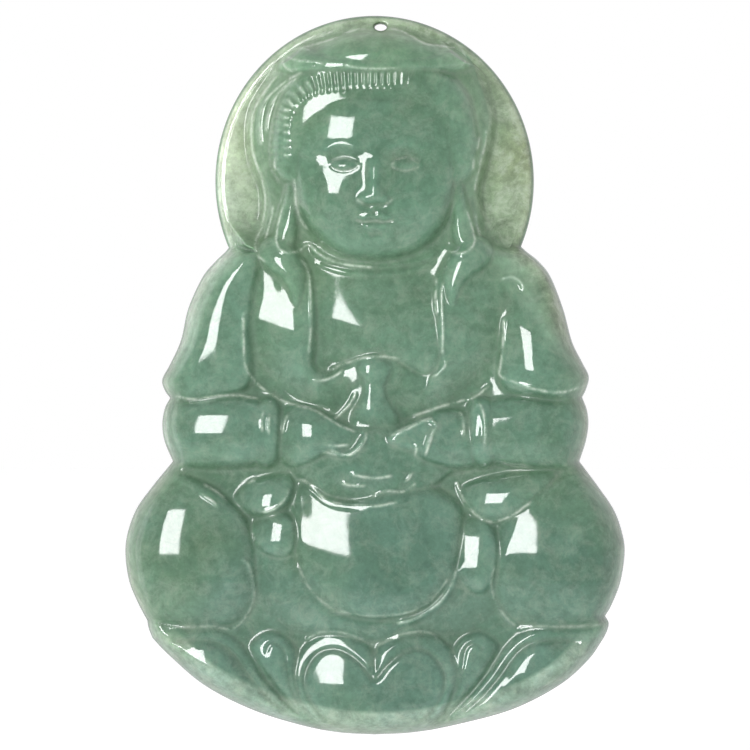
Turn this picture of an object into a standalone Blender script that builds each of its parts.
"""Carved jade pendant: a hooded figure sitting cross-legged on a lotus in front of a round halo.

One stone, flat behind and carved in relief in front. +Z is up, the relief faces -Y, and the origin is
the middle of the cord hole near the top of the halo. The forms are drawn in a drawing frame in
millimetres: x to the viewer's right of the figure's middle, z up from the pendant's lowest point, and
the relief's height measured forward from the flat back.
"""
import math

import bmesh
import bpy
import numpy as np

MM = 0.001

# Driving dimensions, mm
HALO_CENTRE_Z = 46.25
HALO_HALF_WIDTH = 13.2
HALO_HALF_HEIGHT = 13.72
HALO_THICKNESS = 2.3
RIM_WALL = 1.1            # straight side wall next to the flat back
HALO_RIM_WIDTH = 0.75     # how far in the rounded rim reaches on the halo
BODY_RIM_WIDTH = 3.65     # and on the body
BODY_RIM_RISE = 6.1       # height that the body's rounded rim may climb
NECK_Z = 41.0             # below this the body's rim takes over from the halo's
NECK_BLEND = 1.2          # height over which it does
HALO_INNER_SLOPE = 4.0    # how steeply the halo's front may rise inside its rim
BODY_INNER_SLOPE = 1.0    # and the body's
HALO_RIM_BLEND = 0.15     # rounding where the rim meets the carving, on the halo
BODY_RIM_BLEND = 0.65     # and on the body
HOLE_X = 0.5
HOLE_Z = 59.0
HOLE_DIAMETER = 1.0
DRILL_SIDES = 16
DRILL_LENGTH = 12.0       # clears the stone on both sides
BACK_Y = HALO_THICKNESS / 2
COLUMNS = 48
ROWS = 72
RIM_CROWDING = 0.35       # how much closer the mesh lines stand at the rim than in the middle
SHARP_ANGLE = math.radians(50)

JADE = (0.125, 0.245, 0.165, 1.0)
POLISHED_ROUGHNESS = 0.08

# Stretches of the outline between its notches, each run towards the lowest point
NECK_LEFT = (-12.35, 40.42)
NECK_RIGHT = (12.55, 40.45)
ARM_LEFT = [NECK_LEFT, (-13.3, 39.5), (-14.3, 38.25), (-15.45, 35.7), (-16.05, 33.1), (-16.95, 31.1),
            (-17.6, 29.85), (-17.4, 28.95), (-16.95, 28.3)]
SLEEVE_LEFT = [(-16.95, 28.3), (-17.4, 27.4), (-17.6, 26.1), (-17.4, 24.7), (-16.72, 23.05)]
KNEE_LEFT = [(-16.72, 23.05), (-18.4, 21.0), (-19.75, 19.1), (-20.5, 17.0), (-20.65, 15.2),
             (-20.3, 13.0), (-19.5, 11.1), (-18.85, 9.9)]
LIP_LEFT = [(-18.85, 9.9), (-18.72, 9.2), (-18.4, 8.4)]
LOTUS_LEFT = [(-18.4, 8.4), (-17.1, 7.05), (-14.1, 4.5), (-10.2, 2.5), (-6.2, 1.22), (-3.0, 0.6),
              (0.0, 0.42)]
ARM_RIGHT = [NECK_RIGHT, (13.6, 39.6), (14.6, 38.3), (15.65, 35.6), (16.35, 33.0), (17.2, 31.25),
             (17.75, 30.1), (17.55, 29.1), (17.2, 28.35)]
SLEEVE_RIGHT = [(17.2, 28.35), (17.6, 27.3), (17.72, 26.1), (17.5, 24.7), (16.97, 23.05)]
KNEE_RIGHT = [(16.97, 23.05), (18.5, 21.0), (19.85, 19.0), (20.55, 17.0), (20.72, 15.4),
              (20.35, 13.0), (19.6, 11.1), (19.1, 10.25)]
LIP_RIGHT = [(19.1, 10.25), (19.4, 9.7), (19.3, 9.1), (19.0, 8.45)]
LOTUS_RIGHT = [(19.0, 8.45), (17.7, 6.6), (15.3, 4.5), (11.4, 2.5), (6.6, 1.2), (3.2, 0.6),
               (0.0, 0.42)]
HALO_CORNER_ANGLE = math.radians(45)


def smooth(points, closed=False, steps=6):
    """Catmull-Rom curve through the points."""
    p = np.asarray(points, float)
    if closed:
        q = np.vstack([p[-1], p, p[0], p[1]])
    else:
        q = np.vstack([2 * p[0] - p[1], p, 2 * p[-1] - p[-2]])
    t = np.linspace(0, 1, steps, endpoint=False)[:, None]
    spans = [0.5 * (2 * b + (c - a) * t + (2 * a - 5 * b + 4 * c - d) * t**2
                    + (3 * b - a - 3 * c + d) * t**3)
             for a, b, c, d in zip(q[:-3], q[1:-2], q[2:-1], q[3:])]
    path = np.vstack(spans)
    return np.vstack([path, path[0] if closed else p[-1]])


def mirrored(half):
    """Closed list from the half whose first and last points lie on the middle line."""
    return half + [(-x, z) for x, z in reversed(half[1:-1])]


def halo_angle(point):
    """Angle on the halo's ellipse of a point that lies on it."""
    return math.atan2((point[1] - HALO_CENTRE_Z) / HALO_HALF_HEIGHT, point[0] / HALO_HALF_WIDTH)


def halo_arc(start, end, steps=40):
    angle = np.linspace(start, end, steps + 1)
    return np.stack([HALO_HALF_WIDTH * np.cos(angle),
                     HALO_CENTRE_Z + HALO_HALF_HEIGHT * np.sin(angle)], 1)


def join(*paths):
    return np.vstack([paths[0]] + [p[1:] for p in paths[1:]])


def outline_sides():
    """Bottom, right, top and left of the outline; they meet below the lotus's lips and on the halo."""
    bottom = join(smooth(LOTUS_LEFT), smooth(LOTUS_RIGHT)[::-1])
    right_arc = halo_arc(halo_angle(NECK_RIGHT), HALO_CORNER_ANGLE)
    left_arc = halo_arc(halo_angle(NECK_LEFT) + 2 * math.pi, math.pi - HALO_CORNER_ANGLE)
    right_arc[0] = NECK_RIGHT
    left_arc[0] = NECK_LEFT
    right = join(*[smooth(run)[::-1] for run in (LIP_RIGHT, KNEE_RIGHT, SLEEVE_RIGHT, ARM_RIGHT)],
                 right_arc)
    left = join(*[smooth(run)[::-1] for run in (LIP_LEFT, KNEE_LEFT, SLEEVE_LEFT, ARM_LEFT)], left_arc)
    top = halo_arc(math.pi - HALO_CORNER_ANGLE, HALO_CORNER_ANGLE)
    return bottom, right, top, left


def resample(path, places):
    """Points at the given fractions (0 to 1) of a path's length."""
    run = np.concatenate([[0], np.cumsum(np.hypot(*np.diff(path, axis=0).T))])
    return np.stack([np.interp(places * run[-1], run, path[:, k]) for k in (0, 1)], 1)


def crowded(count):
    """Fractions 0 to 1 that stand closer together at both ends."""
    s = np.linspace(0, 1, count + 1)
    return s - RIM_CROWDING * np.sin(2 * math.pi * s) / (2 * math.pi)


def grid_points():
    """Rows of points that fill the outline and follow it (a Coons patch)."""
    bottom, right, top, left = outline_sides()
    u, v = crowded(COLUMNS), crowded(ROWS)
    b, t = resample(bottom, u)[None], resample(top, u)[None]
    l, r = resample(left, v)[:, None], resample(right, v)[:, None]
    u, v = u[None, :, None], v[:, None, None]
    corners = ((1 - u) * (1 - v) * b[:, :1] + u * (1 - v) * b[:, -1:]
               + (1 - u) * v * t[:, :1] + u * v * t[:, -1:])
    return (1 - v) * b + v * t + (1 - u) * l + u * r - corners


def distance_inside(path, x, z):
    """Distance to a closed path, positive inside it."""
    best = np.full(x.shape, np.inf)
    inside = np.zeros(x.shape, bool)
    for (ax, az), (bx, bz) in zip(path[:-1], path[1:]):
        dx, dz = bx - ax, bz - az
        length2 = dx * dx + dz * dz
        if length2 == 0:
            continue
        ux, uz = x - ax, z - az
        t = np.clip((ux * dx + uz * dz) / length2, 0, 1)
        best = np.minimum(best, (ux - t * dx) ** 2 + (uz - t * dz) ** 2)
        if dz != 0:
            inside ^= ((az > z) != (bz > z)) & (x < dx * uz / dz + ax)
    return np.sqrt(best) * np.where(inside, 1, -1)


def ellipsoid(x, z, centre, radii, low, top, tilt=0.0):
    """Height of a flattened dome; it falls away steeply past its own edge."""
    angle = math.radians(tilt)
    x, z = x - centre[0], z - centre[1]
    u = (x * math.cos(angle) + z * math.sin(angle)) / radii[0]
    w = (z * math.cos(angle) - x * math.sin(angle)) / radii[1]
    r2 = u * u + w * w
    past = (np.sqrt(np.maximum(r2, 1)) - 1) * 2 * min(radii)
    return low + (top - low) * np.sqrt(np.clip(1 - r2, 0, None)) - past


def soft_max(a, b, reach):
    h = np.maximum(reach - np.abs(a - b), 0) / reach
    return np.maximum(a, b) + h * h * reach / 4


def soft_min(a, b, reach):
    return -soft_max(-a, -b, reach)


def ease(t):
    t = np.clip(t, 0, 1)
    return t * t * (3 - 2 * t)


def between(start, end, t):
    return start + (end - start) * t


# Each form: outline, dome centre, dome radii, dome foot and top heights, tilt, roll-down at the border
# and its width. Forms come in carving order, lowest first; `pair` ones also stand mirrored.
LOTUS_FORMS = [
    dict(pair=True, outline=[(-20.5, 9.8), (-17, 9.6), (-13.6, 9.55), (-11.9, 9.0), (-10.5, 7.6),
                             (-9.0, 5.4), (-7.2, 3.3), (-5.1, 1.1), (-6, -1), (-12, -0.5), (-20, 4)],
         centre=(-13.0, 5.2), radii=(12.5, 7.4), low=2.6, top=5.5, tilt=-25, drop=0.8, width=0.8),
    dict(pair=True, outline=[(-5.0, 1.4), (-7.3, 3.6), (-9.2, 5.9), (-10.2, 7.7), (-8.6, 9.0),
                             (-6.7, 8.1), (-6.4, 6.0), (-5.9, 3.4)],
         centre=(-8.2, 6.8), radii=(3.2, 6.5), low=3.4, top=5.6, tilt=20, drop=0.7, width=0.7),
    dict(outline=mirrored([(0, 7.55), (-0.7, 8.15), (-2.2, 8.9), (-4.0, 9.15), (-5.6, 8.5), (-6.6, 7.1),
                           (-6.9, 5.4), (-6.2, 3.3), (-4.9, 1.5), (-3, -0.8), (0, -1.5)]),
         centre=(0, 4.6), radii=(9.6, 7.4), low=2.8, top=6.2, drop=0.9, width=0.7),
]
LEG_FORMS = [
    dict(outline=[(-8.6, 18.8), (-7.0, 18.6), (-6.5, 15.2), (-4.9, 12.1), (-1.6, 10.35), (1.8, 10.3),
                  (5.1, 11.8), (6.8, 15.2), (7.4, 18.2), (8.8, 18.0), (10.2, 16.8), (10.3, 12.6),
                  (11.6, 9.7), (9, 8.7), (3, 8.7), (0, 8.2), (-3, 8.7), (-9, 8.7), (-11.6, 9.5),
                  (-10.3, 12.6), (-10.3, 16.5), (-9.9, 18.4)],
         centre=(0, 15.4), radii=(13, 9.2), low=3.4, top=6.3, drop=0.7, width=0.9),
    dict(pair=True, outline=[(-12.0, 19.7), (-10.8, 18.3), (-10.2, 16.5), (-9.95, 14.5), (-9.85, 12.6),
                             (-10.2, 10.9), (-11.0, 9.9), (-12.2, 9.45), (-15, 9.6), (-19, 10),
                             (-24, 10), (-25, 18), (-20.5, 22.5), (-17.2, 22.7), (-14.6, 21.6)],
         centre=(-14.7, 15.5), radii=(7.6, 7.3), low=3.2, top=7.0, drop=0.7, width=1.0),
    dict(outline=[(-6.9, 18.2), (-6.6, 15.6), (-6.0, 13.8), (-5.0, 12.3), (-3.5, 11.1), (-1.7, 10.5),
                  (0, 10.3), (1.8, 10.4), (3.5, 10.95), (4.9, 12.0), (6.0, 13.5), (6.7, 15.3),
                  (7.1, 17.8), (6.9, 19.6), (5.2, 20.6), (3, 20.6), (0.8, 20.2), (-1.6, 19.6),
                  (-3.3, 19.8), (-4.4, 20.5), (-5.4, 21.5), (-6.4, 21.8), (-7.0, 20.6)],
         centre=(0, 15.4), radii=(9.8, 8.0), low=3.6, top=7.1, drop=0.8, width=0.9),
]
ROBE_FORMS = [
    dict(pair=True, outline=[(-13.6, 21.6), (-12.0, 20.0), (-10.6, 19.1), (-9.0, 18.6), (-7.8, 19.2),
                             (-7.0, 20.3), (-6.8, 21.8), (-7.2, 23.2), (-9.5, 23.8), (-14.5, 22.6)],
         centre=(-9.7, 21.8), radii=(5.6, 4.6), low=3.6, top=6.6, drop=0.8, width=0.7),
    dict(pair=True, outline=[(-11.2, 29.5), (-9.3, 29.1), (-7.5, 28.2), (-5.8, 27.7), (-3.6, 27.6),
                             (-4.4, 29.6), (-5.35, 31.2), (-5.0, 36), (-5.2, 38.2), (-6.2, 40.4),
                             (-8, 41), (-10.0, 40.8), (-11.0, 37), (-11.2, 31.5)],
         centre=(-7.4, 35.0), radii=(6.4, 12.5), low=3.8, top=6.3, tilt=4, drop=0.7, width=0.6),
    dict(pair=True, outline=[(-12.2, 41.2), (-14.8, 39.4), (-17.5, 36), (-19, 32), (-20, 30),
                             (-19, 28.5), (-16, 28.45), (-13.2, 28.75), (-10.8, 29.3), (-10.5, 34),
                             (-9.9, 40.0)],
         centre=(-12.7, 33.6), radii=(4.9, 12.5), low=3.0, top=6.4, tilt=-13, drop=0.25, width=0.8),
    dict(pair=True, outline=[(-20, 28.5), (-16.8, 28.15), (-14.8, 27.9), (-12.5, 28.25), (-10.6, 28.2),
                             (-9.2, 27.6), (-8.95, 26), (-9.1, 24.4), (-9.6, 23.2), (-12, 22.8),
                             (-15, 22.6), (-16.8, 22.7), (-20.5, 23)],
         centre=(-12.9, 25.6), radii=(7.4, 4.0), low=3.4, top=6.9, drop=0.6, width=0.6),
    dict(outline=mirrored([(0, 32.1), (-1.6, 31.6), (-3.0, 30.8), (-4.2, 30.35), (-5.1, 30.9),
                           (-5.3, 33), (-5.2, 38), (-5.6, 40.2), (-5.5, 42), (0, 42)]),
         centre=(0, 35.4), radii=(8.6, 10.4), low=3.4, top=6.0, drop=0.5, width=0.5),
    dict(outline=mirrored([(0, 31.9), (-1.2, 31.5), (-2.6, 30.7), (-3.8, 30.1), (-4.9, 30.2),
                           (-4.4, 28.5), (-3.4, 26.8), (0, 25.5)]),
         centre=(0, 29), radii=(8.5, 7.5), low=3.6, top=5.9, drop=0.5, width=0.4),
]
HAND_FORMS = [
    dict(outline=mirrored([(0, 31.7), (-1.35, 31.2), (-1.3, 30.5), (-0.8, 29.6), (-1.0, 28.0),
                           (-1.7, 27.0), (-2.1, 25.8), (-1.3, 23.3), (0, 22.4)]),
         centre=(0, 27), radii=(3.2, 8.0), low=3.4, top=6.8, drop=0.6, width=0.4),
    dict(outline=[(-6.6, 22.3), (-5.4, 21.7), (-4.3, 20.7), (-3.2, 20.0), (-1.6, 19.8), (0.4, 20.2),
                  (2.2, 20.7), (3.6, 21.3), (5.4, 21.4), (6.6, 22.4), (4, 23.8), (0, 24), (-4, 23.8)],
         centre=(0, 22), radii=(9, 3.8), low=4.0, top=6.5, drop=0.6, width=0.5),
    dict(pair=True, outline=[(-8.4, 27.3), (-6.6, 27.5), (-4.9, 27.1), (-3.4, 26.4), (-1.9, 25.8),
                             (-0.8, 25.5), (-0.9, 24.4), (-1.8, 23.8), (-2.9, 23.6), (-4.0, 23.5),
                             (-5.6, 22.9), (-7.4, 22.6), (-8.6, 23.2)],
         centre=(-5.0, 25.2), radii=(6.4, 3.2), low=4.2, top=7.1, drop=0.6, width=0.45),
]
HEAD_FORMS = [
    dict(outline=mirrored([(0, 59.0), (-3, 58.5), (-5.5, 57.4), (-7.6, 55.9), (-8.9, 54.2), (-9.8, 52.3),
                           (-10.0, 50.2), (-9.6, 48.1), (-8.9, 46.2), (-8.7, 44.6), (-8.9, 43.0),
                           (-9.4, 41.0), (-6, 40), (0, 39.8)]),
         centre=(0, 48.0), radii=(12.2, 13.0), low=2.2, top=5.6, drop=0.9, width=0.9),
    dict(outline=mirrored([(0, 56.0), (-2.5, 55.9), (-5.0, 55.4), (-6.7, 54.2), (-7.7, 52.4),
                           (-8.2, 50.4), (-8.3, 48.5), (-7.9, 46.8), (-6, 46), (0, 47)]),
         centre=(0, 49), radii=(11.0, 10.2), low=3.4, top=7.0, drop=0.7, width=0.6),
    dict(outline=mirrored([(0, 57.7), (-4, 57.35), (-6, 57.3), (-7.2, 56.9), (-7.6, 56.0), (-6.9, 55.3),
                           (-5, 55.3), (0, 55.25)]),
         centre=(0, 56.0), radii=(10.5, 3.2), low=3.6, top=6.5, drop=0.7, width=0.6),
    dict(pair=True, outline=[(-6.9, 46.8), (-7.6, 45.5), (-7.9, 43.5), (-8.1, 42.0), (-7.7, 41.0),
                             (-7.0, 41.2), (-6.6, 42.6), (-6.4, 44.5)],
         centre=(-7.3, 43.5), radii=(1.8, 5.4), low=4.2, top=6.1, drop=0.5, width=0.4),
    dict(outline=mirrored([(0, 53.2), (-3, 53.1), (-5, 52.5), (-6.2, 51), (-6.7, 49), (-6.65, 46.5),
                           (-6.2, 44.4), (-5.4, 42.6), (-4.2, 41.2), (-2.6, 40.25), (0, 39.8)]),
         centre=(0, 46.9), radii=(8.4, 9.0), low=3.4, top=7.9, drop=0.9, width=0.9),
]
BODY_SLAB = dict(outline=mirrored([(0, 42), (-8, 41.3), (-11.6, 40.6), (-14.2, 39.9), (-17, 38),
                                   (-20, 30), (-20, 24), (-23, 20), (-23.5, 12), (-20, 4), (-12, -1),
                                   (0, -2)]),
                 centre=(0, 20), radii=(70, 70), low=0, top=4.6, drop=1.6, width=1.2)
FORMS = [BODY_SLAB] + LOTUS_FORMS + LEG_FORMS + ROBE_FORMS + HAND_FORMS + HEAD_FORMS
BORDER_CURVE = 2.2        # power of the roll-down at a form's border
BORDER_FALL = 2.5         # slope of a form outside its outline
FORM_BLEND = 0.2


def form_height(form, x, z, side):
    """Height field of one form, or of its mirror image where side is -1."""
    inside = distance_inside(smooth([(side * a, b) for a, b in form["outline"]], closed=True), x, z)
    centre = (side * form["centre"][0], form["centre"][1])
    dome = ellipsoid(x, z, centre, form["radii"], form["low"], form["top"], side * form.get("tilt", 0))
    roll = form["drop"] * (1 - np.clip(inside / form["width"], 0, 1)) ** BORDER_CURVE
    return dome - roll + BORDER_FALL * np.minimum(inside, 0)


def relief_height(x, z):
    """Front surface's height above the flat back."""
    height = np.full(x.shape, HALO_THICKNESS)
    for form in FORMS:
        for side in (1, -1) if form.get("pair") else (1,):
            height = soft_max(height, form_height(form, x, z, side), FORM_BLEND)
    bottom, right, top, left = outline_sides()
    inside = np.abs(distance_inside(join(bottom, right, top[::-1], left[::-1]), x, z))
    body = ease((NECK_Z - z) / NECK_BLEND)
    reach = between(HALO_RIM_WIDTH, BODY_RIM_WIDTH, body)
    rise = between(HALO_THICKNESS - RIM_WALL, BODY_RIM_RISE, body)
    slope = between(HALO_INNER_SLOPE, BODY_INNER_SLOPE, body)
    climb = np.clip(inside / reach, 0, 1)
    ceiling = RIM_WALL + rise * np.sqrt(1 - (1 - climb) ** 2) + np.maximum(inside - reach, 0) * slope
    return np.maximum(soft_min(height, ceiling, between(HALO_RIM_BLEND, BODY_RIM_BLEND, body)), RIM_WALL)


def place(x, height, z):
    """Drawing frame to the part's frame, in metres."""
    return ((x - HOLE_X) * MM, (BACK_Y - height) * MM, (z - HOLE_Z) * MM)


def softened(heights):
    """Averages each inner height with its neighbours, so that creases follow the coarse mesh."""
    rows = (heights[:-2] + 2 * heights[1:-1] + heights[2:]) / 4
    heights[1:-1, 1:-1] = (rows[:, :-2] + 2 * rows[:, 1:-1] + rows[:, 2:]) / 4
    return heights


def build_stone():
    points = grid_points()
    heights = softened(relief_height(points[..., 0], points[..., 1]))
    heights[[0, -1]] = RIM_WALL
    heights[:, [0, -1]] = RIM_WALL
    bm = bmesh.new()
    front = [[bm.verts.new(place(p[0], h, p[1])) for p, h in zip(row, hs)]
             for row, hs in zip(points, heights)]
    for low, high in zip(front[:-1], front[1:]):
        for a, b, c, d in zip(low[:-1], low[1:], high[1:], high[:-1]):
            bm.faces.new((a, b, c, d))
    ring = (front[0] + [row[-1] for row in front[1:]] + front[-1][-2::-1]
            + [row[0] for row in front[-2:0:-1]])
    back = [bm.verts.new((v.co.x, BACK_Y * MM, v.co.z)) for v in ring]
    for a, b, c, d in zip(ring, ring[1:] + ring[:1], back[1:] + back[:1], back):
        bm.faces.new((b, a, d, c))
    bm.faces.new(back[::-1])
    bmesh.ops.recalc_face_normals(bm, faces=bm.faces)
    mesh = bpy.data.meshes.new("carved_pendant")
    bm.to_mesh(mesh)
    bm.free()
    mesh.shade_smooth()
    mesh.set_sharp_from_angle(angle=SHARP_ANGLE)
    stone = bpy.data.objects.new("carved_pendant", mesh)
    bpy.context.collection.objects.link(stone)
    return stone


def drill_cord_hole(stone):
    bpy.ops.mesh.primitive_cylinder_add(vertices=DRILL_SIDES, radius=HOLE_DIAMETER / 2 * MM,
                                        depth=DRILL_LENGTH * MM, rotation=(math.pi / 2, 0, 0))
    drill = bpy.context.object
    drill.name = "cord_hole_cutter"
    drill.hide_render = True
    drill.display_type = "WIRE"
    cut = stone.modifiers.new("cord hole", "BOOLEAN")
    cut.operation = "DIFFERENCE"
    cut.solver = "EXACT"
    cut.object = drill


def jade():
    material = bpy.data.materials.new("jade")
    material.use_nodes = True
    shader = material.node_tree.nodes["Principled BSDF"]
    shader.inputs["Base Color"].default_value = JADE
    shader.inputs["Roughness"].default_value = POLISHED_ROUGHNESS
    shader.inputs["Metallic"].default_value = 0.0
    return material


def main():
    for old in list(bpy.data.objects):
        bpy.data.objects.remove(old)
    stone = build_stone()
    stone.data.materials.append(jade())
    drill_cord_hole(stone)


main()
